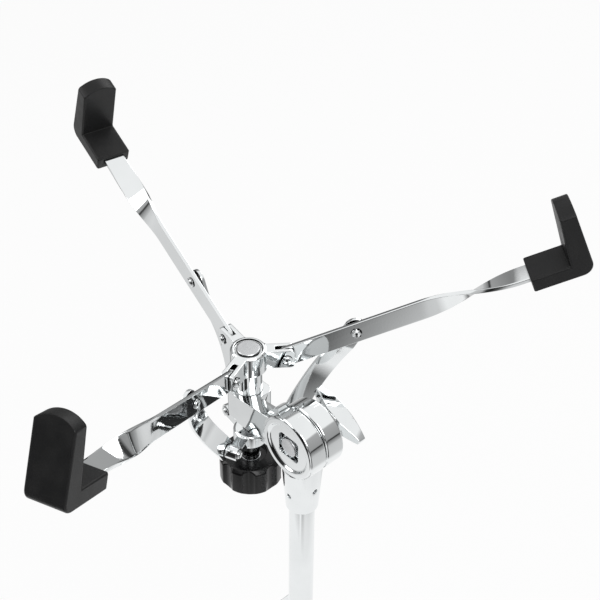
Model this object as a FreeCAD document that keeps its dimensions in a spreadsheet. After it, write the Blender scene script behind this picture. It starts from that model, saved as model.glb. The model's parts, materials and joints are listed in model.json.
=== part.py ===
import FreeCAD, Part
import math
import os

import Sketcher
from FreeCAD import Placement, Rotation, Vector

# Snare drum stand. The mast stands on the Z axis, the floor is z = 0, and the tilter bolt lies along Y.
# The basket's post stands beside the mast, at -X. Lengths are millimetres, angles are degrees.

SIZES = {
    # layout
    "hub_top_height": 590,
    "post_offset": 56.5,
    "arm_turn": 51.5,
    "arm_slope": 21.5,
    "fit": 0.05,
    "gap": 0.3,
    "overrun": 5,
    # basket hub
    "hub_diameter": 26,
    "hub_height": 17.5,
    "hub_edge": 1.5,
    "hub_recess_diameter": 20.6,
    "hub_recess_depth": 1.6,
    "cap_diameter": 16.7,
    "cap_thickness": 2.4,
    "cap_stem": 12,
    "ear_thickness": 3,
    "ear_height": 15,
    "ear_drop": 0.8,
    "ear_margin": 5.5,
    "hub_pin_reach": 26.9,
    "hub_pin_depth": 8.9,
    "pin_diameter": 4,
    "rivet_head_diameter": 7.4,
    "rivet_head_height": 1.6,
    # post
    "tube_diameter": 19.1,
    "tube_wall": 1.5,
    "post_length": 60,
    "rod_diameter": 10,
    "rod_length": 68,
    "rod_plug": 22,
    # arms and grips
    "arm_height": 16,
    "arm_thickness": 3,
    "arm_length": 207,
    "twist_from_end": 95,
    "twist_length": 46,
    "link_pin_reach": 51.9,
    "grip_hold": 30.5,
    "grip_length": 42.8,
    "grip_width": 27,
    "shelf_thickness": 11,
    "shelf_above": 3.9,
    "upright_height": 38.5,
    "upright_thickness": 15.5,
    "upright_top": 10.8,
    "upright_lean": 2.4,
    "crown_rise": 5.8,
    "grip_corner": 8,
    "grip_edge": 1.6,
    "slot_clearance": 0.1,
    # links and slider
    "link_band": 16,
    "link_thickness": 2.6,
    "link_bulge": 4.6,
    "link_flat_slider": 9,
    "link_flat_arm": 16,
    "spacer_thickness": 1.8,
    "open_pivot_clearance": 0.8,
    "slider_pin_reach": 26.6,
    "slider_pin_depth": 78.9,
    "slider_lug_radius": 5.2,
    "slider_lug_width": 9.2,
    "slider_ring_diameter": 25,
    "slider_ring_top": 75.6,
    "slider_ring_height": 11,
    "sleeve_diameter": 14,
    "sleeve_end": 100.7,
    # knob
    "knob_diameter": 47.5,
    "knob_height": 25,
    "knob_edge": 3,
    "knob_lobes": 8,
    "scallop_radius": 8,
    "scallop_depth": 2.4,
    "knob_recess_diameter": 24,
    "knob_recess_depth": 3,
    "insert_diameter": 15,
    # tilter
    "tilt_depth": 47,
    "drum_diameter": 50,
    "knuckle_width": 15.2,
    "socket_disc_width": 15.8,
    "cheek_edge": 1.5,
    "dish_diameter": 40,
    "dish_depth": 1.8,
    "pocket_side": 19,
    "pocket_corner": 3,
    "pocket_depth": 6.5,
    "bolt_diameter": 8,
    "bolt_head_diameter": 15,
    "bolt_head_height": 5,
    "socket_top_diameter": 31.4,
    "socket_bottom_diameter": 24,
    "socket_end": 112,
    "socket_depth": 36,
    "roll_pin_diameter": 4,
    "roll_pin_height": 16,
    "roll_pin_pitch": 5.8,
    "collar_side": 25.5,
    "collar_corner": 6,
    "collar_top": 38,
    "neck_top": 15,
    "neck_bottom": -14,
    "neck_reach": 14,
    "neck_boss_diameter": 57,
    "neck_boss_setback": 5,
    # wing nuts
    "wing_span": 50,
    "wing_breadth": 13,
    "wing_tip_breadth": 5,
    "wing_hub_diameter": 15,
    "wing_hub_height": 15,
    "wing_hub_taper": 1.5,
    "wing_low": 11,
    "wing_tip_low": 16.5,
    "wing_tip_top": 22,
    "wing_crown": 23.5,
    "tilter_wing_turn": 24,
    # mast and base tube
    "mast_end_height": 190,
    "base_tube_diameter": 25.4,
    "base_tube_wall": 1.5,
    "base_tube_top": 303,
    "base_tube_below": 18,
    "plug_flange": 6,
    "plug_stem": 14,
    # height clamp
    "clamp_diameter": 34,
    "clamp_bottom": 270,
    "clamp_top": 322,
    "clamp_edge": 2,
    "clamp_ear_reach": 31,
    "clamp_ear_height": 24,
    "clamp_ear_width": 35,
    "clamp_slit": 2.5,
    "bush_wall": 2.7,
    "bush_flange": 2,
    "clamp_bolt_diameter": 6,
    "nut_side": 10,
    "nut_height": 5,
    # tripod
    "leg_turn": -40,
    "leg_angle": 56,
    "brace_length": 97.5,
    "leg_length": 273,
    "tripod_pin_reach": 27,
    "tripod_collar_diameter": 37,
    "tripod_collar_height": 30,
    "lower_collar_diameter": 35,
    "lower_collar_height": 20,
    "leg_width": 15,
    "leg_depth": 12,
    "channel_wall": 1.5,
    "leg_web_start": 15,
    "brace_depth": 9,
    "brace_web_start": 12,
    "foot_width": 22,
    "foot_depth": 19,
    "foot_length": 38,
    "foot_overhang": 5,
    "foot_edge": 2,
    "foot_flat": 1.1,
    "set_screw_diameter": 6,
}
ARM_COUNT = 3
LINK_SIDES = (1, -1, -1)  # the side of each arm that its link is riveted to
LEG_COUNT = 3
FULL_TURN = 360

doc = FreeCAD.newDocument("snare_drum_stand")
sheet = doc.addObject("Spreadsheet::Sheet", "sizes")
for row, (alias, number) in enumerate(SIZES.items(), start=1):
    sheet.set(f"A{row}", alias)
    sheet.set(f"B{row}", str(number))
    sheet.setAlias(f"B{row}", alias)
doc.recompute()


class Size:
    # a number that also keeps the sheet expression it came from

    def __init__(self, value, text):
        self.value = float(value)
        self.text = text

    def joined(self, other, sign, value):
        return Size(value, f"({self.text} {sign} {as_size(other).text})")

    def __add__(self, other):
        return self.joined(other, "+", self.value + as_size(other).value)

    def __sub__(self, other):
        return self.joined(other, "-", self.value - as_size(other).value)

    def __mul__(self, other):
        return self.joined(other, "*", self.value * as_size(other).value)

    def __truediv__(self, other):
        return self.joined(other, "/", self.value / as_size(other).value)

    def __neg__(self):
        return Size(-self.value, f"(-{self.text})")


def as_size(number):
    return number if isinstance(number, Size) else Size(number, repr(float(number)))


def sine(angle):
    return Size(math.sin(math.radians(angle.value)), f"sin({angle.text} * 1 deg)")


def cosine(angle):
    return Size(math.cos(math.radians(angle.value)), f"cos({angle.text} * 1 deg)")


class Sizes:
    # d.tube_wall is the cell tube_wall of the sheet
    def __getattr__(self, alias):
        return Size(sheet.get(alias), f"sizes.{alias}")


d = Sizes()
zero = as_size(0)
X_AXIS = Vector(1, 0, 0)
Y_AXIS = Vector(0, 1, 0)
Z_AXIS = Vector(0, 0, 1)
QUARTER = 90
HALF_TURN = 180


# General makers

def bind(obj, prop, size):
    obj.setExpression(prop, as_size(size).text)


def place(obj, x=zero, y=zero, z=zero, turn=None):
    # puts an object at bound coordinates, after the given rotation
    spot = Vector(as_size(x).value, as_size(y).value, as_size(z).value)
    obj.Placement = Placement(spot, turn or Rotation())
    for axis, size in (("x", x), ("y", y), ("z", z)):
        if as_size(size).value:
            bind(obj, f"Placement.Base.{axis}", size)
    return obj


def cylinder(radius, height, x=zero, y=zero, z=zero, turn=None):
    obj = doc.addObject("Part::Cylinder", "cylinder")
    bind(obj, "Radius", radius)
    bind(obj, "Height", height)
    return place(obj, x, y, z, turn)


def cylinder_z(radius, low, high, x=zero, y=zero):
    return cylinder(radius, as_size(high) - low, x, y, low)


def cylinder_y(radius, low, high, x=zero, z=zero):
    # a cylinder along Y, from y = low to y = high
    return cylinder(radius, as_size(high) - low, x, low, z, Rotation(X_AXIS, -QUARTER))


def cylinder_x(radius, low, high, y=zero, z=zero):
    return cylinder(radius, as_size(high) - low, low, y, z, Rotation(Y_AXIS, QUARTER))


def block(x, y, z):
    # a box from three (low, high) pairs
    obj = doc.addObject("Part::Box", "block")
    for prop, (low, high) in zip(("Length", "Width", "Height"), (x, y, z)):
        bind(obj, prop, as_size(high) - low)
    return place(obj, x[0], y[0], z[0])


def middle(width):
    return (-width / 2, width / 2)


def fuse(*pieces):
    obj = doc.addObject("Part::MultiFuse", "joined")
    obj.Shapes = list(pieces)
    obj.Refine = True
    return obj


def common(*pieces):
    obj = doc.addObject("Part::MultiCommon", "shared")
    obj.Shapes = list(pieces)
    obj.Refine = True
    return obj


def cut(base, *tools):
    obj = doc.addObject("Part::Cut", "cut")
    obj.Base = base
    obj.Tool = tools[0] if len(tools) == 1 else fuse(*tools)
    obj.Refine = True
    return obj


def origin_feature(body, role):
    for feature in body.Origin.OriginFeatures:
        if feature.Role == role:
            return feature
    raise ValueError(role)


def sketch_on(body, plane):
    sketch = body.newObject("Sketcher::SketchObject", "sketch")
    sketch.AttachmentSupport = [(origin_feature(body, plane), "")]
    sketch.MapMode = "FlatFace"
    return sketch


def hold(sketch, kind, geometry, point, size):
    # fixes one coordinate of a sketch point to a bound size
    size = as_size(size)
    if size.value == 0:
        axis = -2 if kind == "DistanceX" else -1
        sketch.addConstraint(Sketcher.Constraint("PointOnObject", geometry, point, axis))
        return
    if size.value > 0:
        index = sketch.addConstraint(Sketcher.Constraint(kind, -1, 1, geometry, point, size.value))
    else:
        size = -size
        index = sketch.addConstraint(Sketcher.Constraint(kind, geometry, point, -1, 1, size.value))
    bind(sketch, f"Constraints[{index}]", size)


def polygon(body, plane, points):
    sketch = sketch_on(body, plane)
    corners = [Vector(as_size(x).value, as_size(y).value, 0) for x, y in points]
    count = len(corners)
    for index in range(count):
        sketch.addGeometry(Part.LineSegment(corners[index], corners[(index + 1) % count]))
    for index in range(count):
        sketch.addConstraint(Sketcher.Constraint("Coincident", index, 2, (index + 1) % count, 1))
    for index, (x, y) in enumerate(points):
        hold(sketch, "DistanceX", index, 1, x)
        hold(sketch, "DistanceY", index, 1, y)
    return sketch


def circle(body, plane, x, y, radius):
    sketch = sketch_on(body, plane)
    centre = Vector(as_size(x).value, as_size(y).value, 0)
    sketch.addGeometry(Part.Circle(centre, Z_AXIS, as_size(radius).value))
    hold(sketch, "DistanceX", 0, 3, x)
    hold(sketch, "DistanceY", 0, 3, y)
    index = sketch.addConstraint(Sketcher.Constraint("Radius", 0, as_size(radius).value))
    bind(sketch, f"Constraints[{index}]", radius)
    return sketch


def new_body():
    return doc.addObject("PartDesign::Body", "body")


def revolve(body, points):
    # turns an outline of (radius, height) points about Z
    feature = body.newObject("PartDesign::Revolution", "turned")
    feature.Profile = polygon(body, "XZ_Plane", points)
    feature.ReferenceAxis = (feature.Profile[0], ["V_Axis"])
    feature.Angle = FULL_TURN
    return feature


def turned(points):
    body = new_body()
    revolve(body, points)
    return body


def pad(body, sketch, length, symmetric=True):
    feature = body.newObject("PartDesign::Pad", "pad")
    feature.Profile = sketch
    bind(feature, "Length", length)
    feature.Midplane = symmetric
    return feature


def pocket(body, sketch, length, symmetric=True):
    feature = body.newObject("PartDesign::Pocket", "pocket")
    feature.Profile = sketch
    bind(feature, "Length", length)
    feature.Midplane = symmetric
    return feature


def round_edges(body, base, radius, wanted):
    # rounds the edges of a feature that pass the test
    doc.recompute()
    names = [f"Edge{n}" for n, edge in enumerate(base.Shape.Edges, start=1) if wanted(edge)]
    feature = body.newObject("PartDesign::Fillet", "rounding")
    feature.Base = (base, names)
    bind(feature, "Radius", radius)
    return feature


def along(edge, axis):
    # true for a straight edge along the axis
    if edge.Curve.TypeId != "Part::GeomLine":
        return False
    return abs(edge.Curve.Direction.dot(axis)) > math.cos(math.radians(1))


def around(count, start, make):
    # makes copies of a piece spread evenly about Z
    pieces = []
    for index in range(count):
        turn = Rotation(Z_AXIS, start.value + index * FULL_TURN / count)
        pieces.append(make(turn))
    return pieces


def turned_link(piece, turn, x=zero, z=zero):
    # a linked copy of a finished piece, turned about a vertical line and moved
    copy = doc.addObject("Part::Compound", "turned_copy")
    copy.Links = [piece]
    return place(copy, x, zero, z, turn)


PARTS = {}


def part(label, obj):
    obj.Label = label
    PARTS[label] = obj
    return obj


def rivet(pin_radius, half_length, head_radius, head_height):
    # a plain rivet along Y with a low domed head at each end
    shank = cylinder_y(pin_radius, -half_length, half_length)
    heads = []
    for side in (-1, 1):
        head = doc.addObject("Part::Cone", "head")
        bind(head, "Radius1", head_radius)
        bind(head, "Radius2", head_radius * HEAD_TOP_SHARE)
        bind(head, "Height", head_height)
        place(head, zero, half_length * side, zero, Rotation(X_AXIS, -QUARTER * side))
        heads.append(head)
    return fuse(shank, *heads)


HEAD_TOP_SHARE = 0.7
post_x = -d.post_offset
tilt_height = d.hub_top_height - d.tilt_depth
tube_inner = d.tube_diameter / 2 - d.tube_wall
pin_radius = d.pin_diameter / 2
head_radius = d.rivet_head_diameter / 2


def below_hub(depth):
    return d.hub_top_height - depth


# Basket hub: a boss with three pairs of ears, made about its own axis with its top at z = 0

slot_width = d.arm_thickness + d.gap * 2
ear_span = slot_width + d.ear_thickness * 2
ear_low = -d.ear_drop - d.ear_height
boss = turned([
    (0, 0),
    (d.hub_diameter / 2 - d.hub_edge, 0),
    (d.hub_diameter / 2, -d.hub_edge),
    (d.hub_diameter / 2, -d.hub_height),
    (0, -d.hub_height),
])


def ear_pair(turn):
    reach = d.hub_pin_reach + d.ear_margin
    plate = new_body()
    outline = polygon(plate, "XZ_Plane", [
        (0, -d.ear_drop),
        (reach, -d.ear_drop),
        (reach, ear_low),
        (0, ear_low),
    ])
    slab = pad(plate, outline, ear_span)
    pin_reach = d.hub_pin_reach.value
    round_edges(plate, slab, d.hub_edge * 2, lambda e: along(e, Y_AXIS) and e.CenterOfMass.x > pin_reach)
    tip = d.hub_pin_reach - d.arm_height / 2 - d.gap
    slot = block((tip, reach + d.overrun), middle(slot_width), (ear_low - d.overrun, d.overrun))
    hole = cylinder_y(pin_radius, -ear_span, ear_span, d.hub_pin_reach, -d.hub_pin_depth)
    return turned_link(cut(plate, slot, hole), turn)


ears = around(ARM_COUNT, d.arm_turn, ear_pair)
hub_solid = cut(
    fuse(boss, *ears),
    cylinder_z(d.tube_diameter / 2, -d.hub_height - d.overrun, d.overrun),
    cylinder_z(d.hub_recess_diameter / 2, -d.hub_recess_depth, d.overrun),
)
part("basket_hub", place(hub_solid, post_x, zero, d.hub_top_height))


def hub_pin(turn):
    pin = rivet(pin_radius, ear_span / 2, head_radius, d.rivet_head_height)
    return turned_link(turned_link(pin, Rotation(), d.hub_pin_reach, -d.hub_pin_depth), turn)


hub_pins = doc.addObject("Part::Compound", "hub_pins")
hub_pins.Links = around(ARM_COUNT, d.arm_turn, hub_pin)
part("hub_pins", place(hub_pins, post_x, zero, d.hub_top_height))

# Post: tube, cap, and the threaded rod that carries slider and knob

post_top = -d.hub_recess_depth
post_bottom = post_top - d.post_length
post_tube = turned([
    (tube_inner, post_top),
    (d.tube_diameter / 2, post_top),
    (d.tube_diameter / 2, post_bottom),
    (tube_inner, post_bottom),
])
part("post_tube", place(post_tube, post_x, zero, d.hub_top_height))

cap_top = -d.hub_recess_depth + d.cap_thickness - d.cap_thickness / 4
post_cap = turned([
    (0, cap_top),
    (d.cap_diameter / 2 - d.cap_thickness / 4, cap_top),
    (d.cap_diameter / 2, cap_top - d.cap_thickness / 4),
    (d.cap_diameter / 2, post_top),
    (tube_inner, post_top),
    (tube_inner, post_top - d.cap_stem),
    (0, post_top - d.cap_stem),
])
part("post_cap", place(post_cap, post_x, zero, d.hub_top_height))

rod_end = post_bottom - d.rod_length
post_rod = turned([
    (0, post_bottom + d.rod_plug),
    (tube_inner, post_bottom + d.rod_plug),
    (tube_inner, post_bottom),
    (d.rod_diameter / 2, post_bottom),
    (d.rod_diameter / 2, rod_end + d.hub_edge),
    (d.rod_diameter / 2 - d.hub_edge, rod_end),
    (0, rod_end),
])
part("post_rod", place(post_rod, post_x, zero, d.hub_top_height))

# Slider: a ring with three lugs and a sleeve, and its rivets

slider_ring = turned([
    (0, -d.slider_ring_top),
    (d.slider_ring_diameter / 2 - d.hub_edge, -d.slider_ring_top),
    (d.slider_ring_diameter / 2, -d.slider_ring_top - d.hub_edge),
    (d.slider_ring_diameter / 2, -d.slider_ring_top - d.slider_ring_height),
    (d.sleeve_diameter / 2, -d.slider_ring_top - d.slider_ring_height - d.hub_edge),
    (d.sleeve_diameter / 2, -d.sleeve_end),
    (0, -d.sleeve_end),
])


def slider_lug(turn):
    low = -d.slider_pin_depth - d.slider_lug_radius
    high = -d.slider_ring_top - d.hub_edge
    web = block((zero, d.slider_pin_reach), middle(d.slider_lug_width), (low, high))
    half = d.slider_lug_width / 2
    eye = cylinder_y(d.slider_lug_radius, -half, half, d.slider_pin_reach, -d.slider_pin_depth)
    return turned_link(fuse(web, eye), turn)


def slider_hole(turn):
    width = d.slider_lug_width
    hole = cylinder_y(pin_radius, -width, width, d.slider_pin_reach, -d.slider_pin_depth)
    return turned_link(hole, turn)


slider = cut(
    fuse(slider_ring, *around(ARM_COUNT, d.arm_turn, slider_lug)),
    cylinder_z(d.slider_ring_diameter / 2, -d.slider_ring_top, zero),
    cylinder_z(d.rod_diameter / 2 + d.fit, -d.sleeve_end - d.overrun, zero),
    *around(ARM_COUNT, d.arm_turn, slider_hole),
)
part("slider", place(slider, post_x, zero, d.hub_top_height))


link_stack = d.link_thickness + d.gap * 2


def link_rivet(carrier, stack, side):
    # a rivet through a lug or bar of the given width and the link, with what lies between, on one side
    pin = rivet(pin_radius, (carrier + stack) / 2, head_radius, d.rivet_head_height)
    return place(pin, zero, stack * side / 2, zero)


slider_rivets = []
for arm_index in range(ARM_COUNT):
    turn = Rotation(Z_AXIS, d.arm_turn.value + arm_index * FULL_TURN / ARM_COUNT)
    pin = link_rivet(d.slider_lug_width, link_stack, LINK_SIDES[arm_index])
    pin = turned_link(pin, Rotation(), d.slider_pin_reach, -d.slider_pin_depth)
    slider_rivets.append(turned_link(pin, turn))
slider_pins = doc.addObject("Part::Compound", "slider_pins")
slider_pins.Links = slider_rivets
part("slider_pins", place(slider_pins, post_x, zero, d.hub_top_height))

# Knob: a scalloped handwheel with a threaded insert, under the slider

knob_top = -d.sleeve_end - d.gap
knob_bottom = knob_top - d.knob_height
knob_radius = d.knob_diameter / 2
knob = new_body()
revolve(knob, [
    (d.insert_diameter / 2, knob_top - d.knob_recess_depth),
    (d.knob_recess_diameter / 2, knob_top - d.knob_recess_depth),
    (d.knob_recess_diameter / 2, knob_top),
    (knob_radius - d.knob_edge, knob_top),
    (knob_radius, knob_top - d.knob_edge),
    (knob_radius, knob_bottom + d.knob_edge),
    (knob_radius - d.knob_edge, knob_bottom),
    (d.insert_diameter / 2, knob_bottom),
])
scallop_centre = knob_radius + d.scallop_radius - d.scallop_depth
scallop = pocket(knob, circle(knob, "XY_Plane", scallop_centre, zero, d.scallop_radius), d.sleeve_end * 4)
scallops = knob.newObject("PartDesign::PolarPattern", "scallops")
scallops.Originals = [scallop]
scallops.Axis = (origin_feature(knob, "Z_Axis"), [""])
scallops.Angle = FULL_TURN
bind(scallops, "Occurrences", d.knob_lobes)
knob.Tip = scallops
part("knob", place(knob, post_x, zero, d.hub_top_height))

knob_insert = turned([
    (d.rod_diameter / 2 + d.fit, knob_top),
    (d.sleeve_diameter / 2, knob_top),
    (d.sleeve_diameter / 2, knob_top - d.knob_recess_depth),
    (d.insert_diameter / 2, knob_top - d.knob_recess_depth),
    (d.insert_diameter / 2, knob_bottom),
    (d.rod_diameter / 2 + d.fit, knob_bottom),
])
part("knob_insert", place(knob_insert, post_x, zero, d.hub_top_height))

# Arms: a flat bar on edge, with a quarter twist before it enters its grip.
# An arm's own frame has its hub pin at the origin, X along the bar and Y across it.

TWIST_STEPS = 8


def arm_section(reach, angle):
    half_y = d.arm_thickness.value / 2
    half_z = d.arm_height.value / 2
    signs = ((-1, -1), (1, -1), (1, 1), (-1, 1))
    corners = [Vector(0, half_y * side, half_z * level) for side, level in signs]
    wire = Part.makePolygon(corners + corners[:1])
    wire.Placement = Placement(Vector(reach, 0, 0), Rotation(X_AXIS, angle))
    return wire


twist_start = d.arm_length - d.twist_from_end


def arm_shape():
    start = twist_start.value
    half = d.arm_height.value / 2
    steps = range(TWIST_STEPS + 1)
    length = d.twist_length.value
    sections = [arm_section(start + length * n / TWIST_STEPS, QUARTER * n / TWIST_STEPS) for n in steps]
    twist = Part.makeLoft(sections, True, False)
    thickness = d.arm_thickness.value
    inner = Part.makeBox(start, thickness, half * 2, Vector(0, -thickness / 2, -half))
    eye = Part.makeCylinder(half, thickness, Vector(0, -thickness / 2, 0), Y_AXIS)
    end = start + length
    outer = Part.makeBox(d.arm_length.value - end, half * 2, thickness, Vector(end, -half, -thickness / 2))
    bar = inner.fuse([eye, twist, outer]).removeSplitter()
    across = thickness * 2
    hub_end = Vector(0, -across / 2, 0)
    link_end = Vector(d.link_pin_reach.value, -across / 2, 0)
    hub_hole = Part.makeCylinder(pin_radius.value + d.fit.value, across, hub_end, Y_AXIS)
    link_hole = Part.makeCylinder(pin_radius.value, across, link_end, Y_AXIS)
    return bar.cut([hub_hole, link_hole])


def arm_frame(index):
    turn = Rotation(Z_AXIS, d.arm_turn.value + index * FULL_TURN / ARM_COUNT)
    centre = Vector(post_x.value, 0, below_hub(d.hub_pin_depth).value)
    start = centre + turn.multVec(Vector(d.hub_pin_reach.value, 0, 0))
    return Placement(start, turn.multiply(Rotation(Y_AXIS, -d.arm_slope.value)))


# Grips: an L of rubber on the end of each arm, in the arm's own frame

shelf_low = d.shelf_above - d.shelf_thickness
grip_start = d.arm_length - d.grip_hold
grip_end = grip_start + d.grip_length
shoulder = d.shelf_above + d.upright_height


def grip_body():
    grip = new_body()
    inner_foot = grip_end - d.upright_thickness
    inner_top = inner_foot + d.upright_lean
    crown = shoulder + d.crown_rise
    profile = polygon(grip, "XZ_Plane", [
        (grip_start, shelf_low),
        (grip_end, shelf_low),
        (inner_top + d.upright_top, crown),
        (inner_top, crown),
        (inner_foot, d.shelf_above),
        (grip_start, d.shelf_above),
    ])
    base = pad(grip, profile, d.grip_width)
    heel = lambda e: along(e, Y_AXIS) and is_near(e, grip_end, shelf_low)
    base = round_edges(grip, base, d.grip_corner, heel)
    # the crown's arc, through both shoulders and the middle of the top
    crown_sketch = sketch_on(grip, "YZ_Plane")
    half = d.grip_width / 2
    radius = (half * half + d.crown_rise * d.crown_rise) / (d.crown_rise * 2)
    centre = crown - radius
    spread = math.asin(half.value / radius.value)
    arc = Part.Circle(Vector(0, centre.value, 0), Z_AXIS, radius.value)
    upright = math.pi / 2
    crown_sketch.addGeometry(Part.ArcOfCircle(arc, upright - spread, upright + spread))
    left, right, top = -half.value, half.value, (crown + d.overrun).value
    corners = [Vector(left, shoulder.value, 0), Vector(left, top, 0), Vector(right, top, 0)]
    corners.append(Vector(right, shoulder.value, 0))
    for index in range(3):
        crown_sketch.addGeometry(Part.LineSegment(corners[index], corners[index + 1]))
    for first, second in ((0, 1), (1, 2), (2, 3), (3, 0)):
        crown_sketch.addConstraint(Sketcher.Constraint("Coincident", first, 2, second, 1))
    hold(crown_sketch, "DistanceX", 1, 1, -half)
    hold(crown_sketch, "DistanceY", 1, 1, shoulder)
    hold(crown_sketch, "DistanceX", 1, 2, -half)
    hold(crown_sketch, "DistanceY", 1, 2, crown + d.overrun)
    hold(crown_sketch, "DistanceX", 2, 2, half)
    hold(crown_sketch, "DistanceY", 2, 2, crown + d.overrun)
    hold(crown_sketch, "DistanceX", 3, 2, half)
    hold(crown_sketch, "DistanceY", 3, 2, shoulder)
    index = crown_sketch.addConstraint(Sketcher.Constraint("Radius", 0, radius.value))
    bind(crown_sketch, f"Constraints[{index}]", radius)
    base = pocket(grip, crown_sketch, grip_end * 4)
    slot_half = d.arm_height / 2 + d.slot_clearance
    slot_low = -d.arm_thickness / 2 - d.slot_clearance
    slot_end = d.arm_length + d.slot_clearance
    slot = polygon(grip, "XZ_Plane", [
        (grip_start - d.overrun, slot_low),
        (slot_end, slot_low),
        (slot_end, -slot_low),
        (grip_start - d.overrun, -slot_low),
    ])
    cavity = pocket(grip, slot, slot_half * 2)
    round_edges(grip, cavity, d.grip_edge, lambda e: is_rim(e))
    return grip


def is_near(edge, x, z):
    centre = edge.CenterOfMass
    return abs(centre.x - x.value) < d.gap.value and abs(centre.z - z.value) < d.gap.value


def is_rim(edge):
    # the long outer edges of a grip's two side faces, apart from the slot
    half = d.grip_width.value / 2
    ys = [vertex.Point.y for vertex in edge.Vertexes]
    return all(abs(abs(y) - half) < d.fit.value for y in ys) and not along(edge, Y_AXIS)


def spacer(side):
    near = d.arm_thickness / 2 * side
    far = (d.arm_thickness / 2 + d.spacer_thickness) * side
    low, high = (near, far) if side > 0 else (far, near)
    ring = cylinder_y(head_radius, low, high, d.link_pin_reach)
    return cut(ring, cylinder_y(pin_radius, low - d.overrun, high + d.overrun, d.link_pin_reach))


for arm_index in range(ARM_COUNT):
    frame = arm_frame(arm_index)
    name = str(arm_index + 1)
    arm = doc.addObject("Part::Feature", "arm")
    arm.Shape = arm_shape()
    part("arm_" + name, arm).Placement = frame
    part("grip_" + name, grip_body()).Placement = frame
    side = LINK_SIDES[arm_index]
    link_pin = turned_link(link_rivet(d.arm_thickness, link_stack + d.spacer_thickness, side), Rotation())
    link_pin.Placement = frame.multiply(Placement(Vector(d.link_pin_reach.value, 0, 0), Rotation()))
    part("link_pin_" + name, link_pin)
    part("spacer_" + name, spacer(side)).Placement = frame

# Links: flat straps from slider to arm, each on one side of its arm and bulged away from it. A link's own
# frame has its slider pin at the origin, X outwards from the post and Z up.

arm_pin_x = d.hub_pin_reach + d.link_pin_reach * cosine(d.arm_slope) - d.slider_pin_reach
arm_pin_z = d.slider_pin_depth - d.hub_pin_depth + d.link_pin_reach * sine(d.arm_slope)
link_chord = math.hypot(arm_pin_x.value, arm_pin_z.value)
chord_angle = math.degrees(math.atan2(arm_pin_z.value, arm_pin_x.value))
link_by_slider = d.slider_lug_width / 2 + d.gap
link_by_arm = d.arm_thickness / 2 + d.spacer_thickness + d.gap


def link_shape(side):
    # the bulged band along X, cut to a strap with round ends and then raised to the chord's angle
    half = d.link_band.value / 2
    first = d.link_flat_slider.value
    last = link_chord - d.link_flat_arm.value
    ends = (link_by_slider.value, link_by_arm.value)
    bulge = max(ends) + d.link_bulge.value
    runs = []
    for depth in (0, d.link_thickness.value):
        places = [(-half, ends[0]), (first, ends[0]), ((first + last) / 2, bulge),
                  (last, ends[1]), (link_chord + half, ends[1])]
        runs.append([Vector(x, (y + depth) * side, -half) for x, y in places])
    edges = []
    for start, low, top, high, end in runs:
        edges += [Part.LineSegment(start, low), Part.Arc(low, top, high), Part.LineSegment(high, end)]
    edges.append(Part.LineSegment(runs[0][0], runs[1][0]))
    edges.append(Part.LineSegment(runs[0][-1], runs[1][-1]))
    wire = Part.Wire(Part.__sortEdges__([edge.toShape() for edge in edges]))
    band = Part.Face(wire).extrude(Vector(0, 0, half * 2))
    reach = bulge * 2
    across = Vector(0, -reach, 0)
    arm_pin = Vector(link_chord, 0, 0)
    strap = Part.makeBox(link_chord, reach * 2, half * 2, across - Vector(0, 0, half))
    rounds = [Part.makeCylinder(half, reach * 2, centre + across, Y_AXIS) for centre in (Vector(), arm_pin)]
    link = band.common(strap.fuse(rounds))
    radii = (pin_radius.value + d.fit.value, pin_radius.value + d.open_pivot_clearance.value)
    ends = (Vector(), arm_pin)
    holes = [Part.makeCylinder(r, reach * 2, end + across, Y_AXIS) for r, end in zip(radii, ends)]
    link = link.cut(holes)
    link.Placement = Placement(Vector(), Rotation(Y_AXIS, -chord_angle))
    return link


for arm_index in range(ARM_COUNT):
    turn = Rotation(Z_AXIS, d.arm_turn.value + arm_index * FULL_TURN / ARM_COUNT)
    centre = Vector(post_x.value, 0, below_hub(d.slider_pin_depth).value)
    link = doc.addObject("Part::Feature", "link")
    link.Shape = link_shape(LINK_SIDES[arm_index])
    start = Placement(centre + turn.multVec(Vector(d.slider_pin_reach.value, 0, 0)), turn)
    link.Placement = start.multiply(link.Placement)
    part("link_" + str(arm_index + 1), link)

# Tilter, made about the tilt axis at the origin: two discs face to face, held by a bolt and a wing nut.
# The front disc is one piece with the post's collar, the rear disc with the mast's socket.

seam = d.gap / 2
front_outer = -seam - d.knuckle_width
rear_outer = seam + d.socket_disc_width
drum_radius = d.drum_diameter / 2
socket_low = d.tilt_depth - d.socket_end
collar_high = d.tilt_depth - d.collar_top
collar_low = d.tilt_depth + post_bottom
collar_half = d.collar_side / 2


def tilter_disc(low, high):
    # a disc along Y with chamfered rims
    disc = turned([
        (0, low),
        (drum_radius - d.cheek_edge, low),
        (drum_radius, low + d.cheek_edge),
        (drum_radius, high - d.cheek_edge),
        (drum_radius - d.cheek_edge, high),
        (0, high),
    ])
    return place(disc, turn=Rotation(X_AXIS, -QUARTER))


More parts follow.
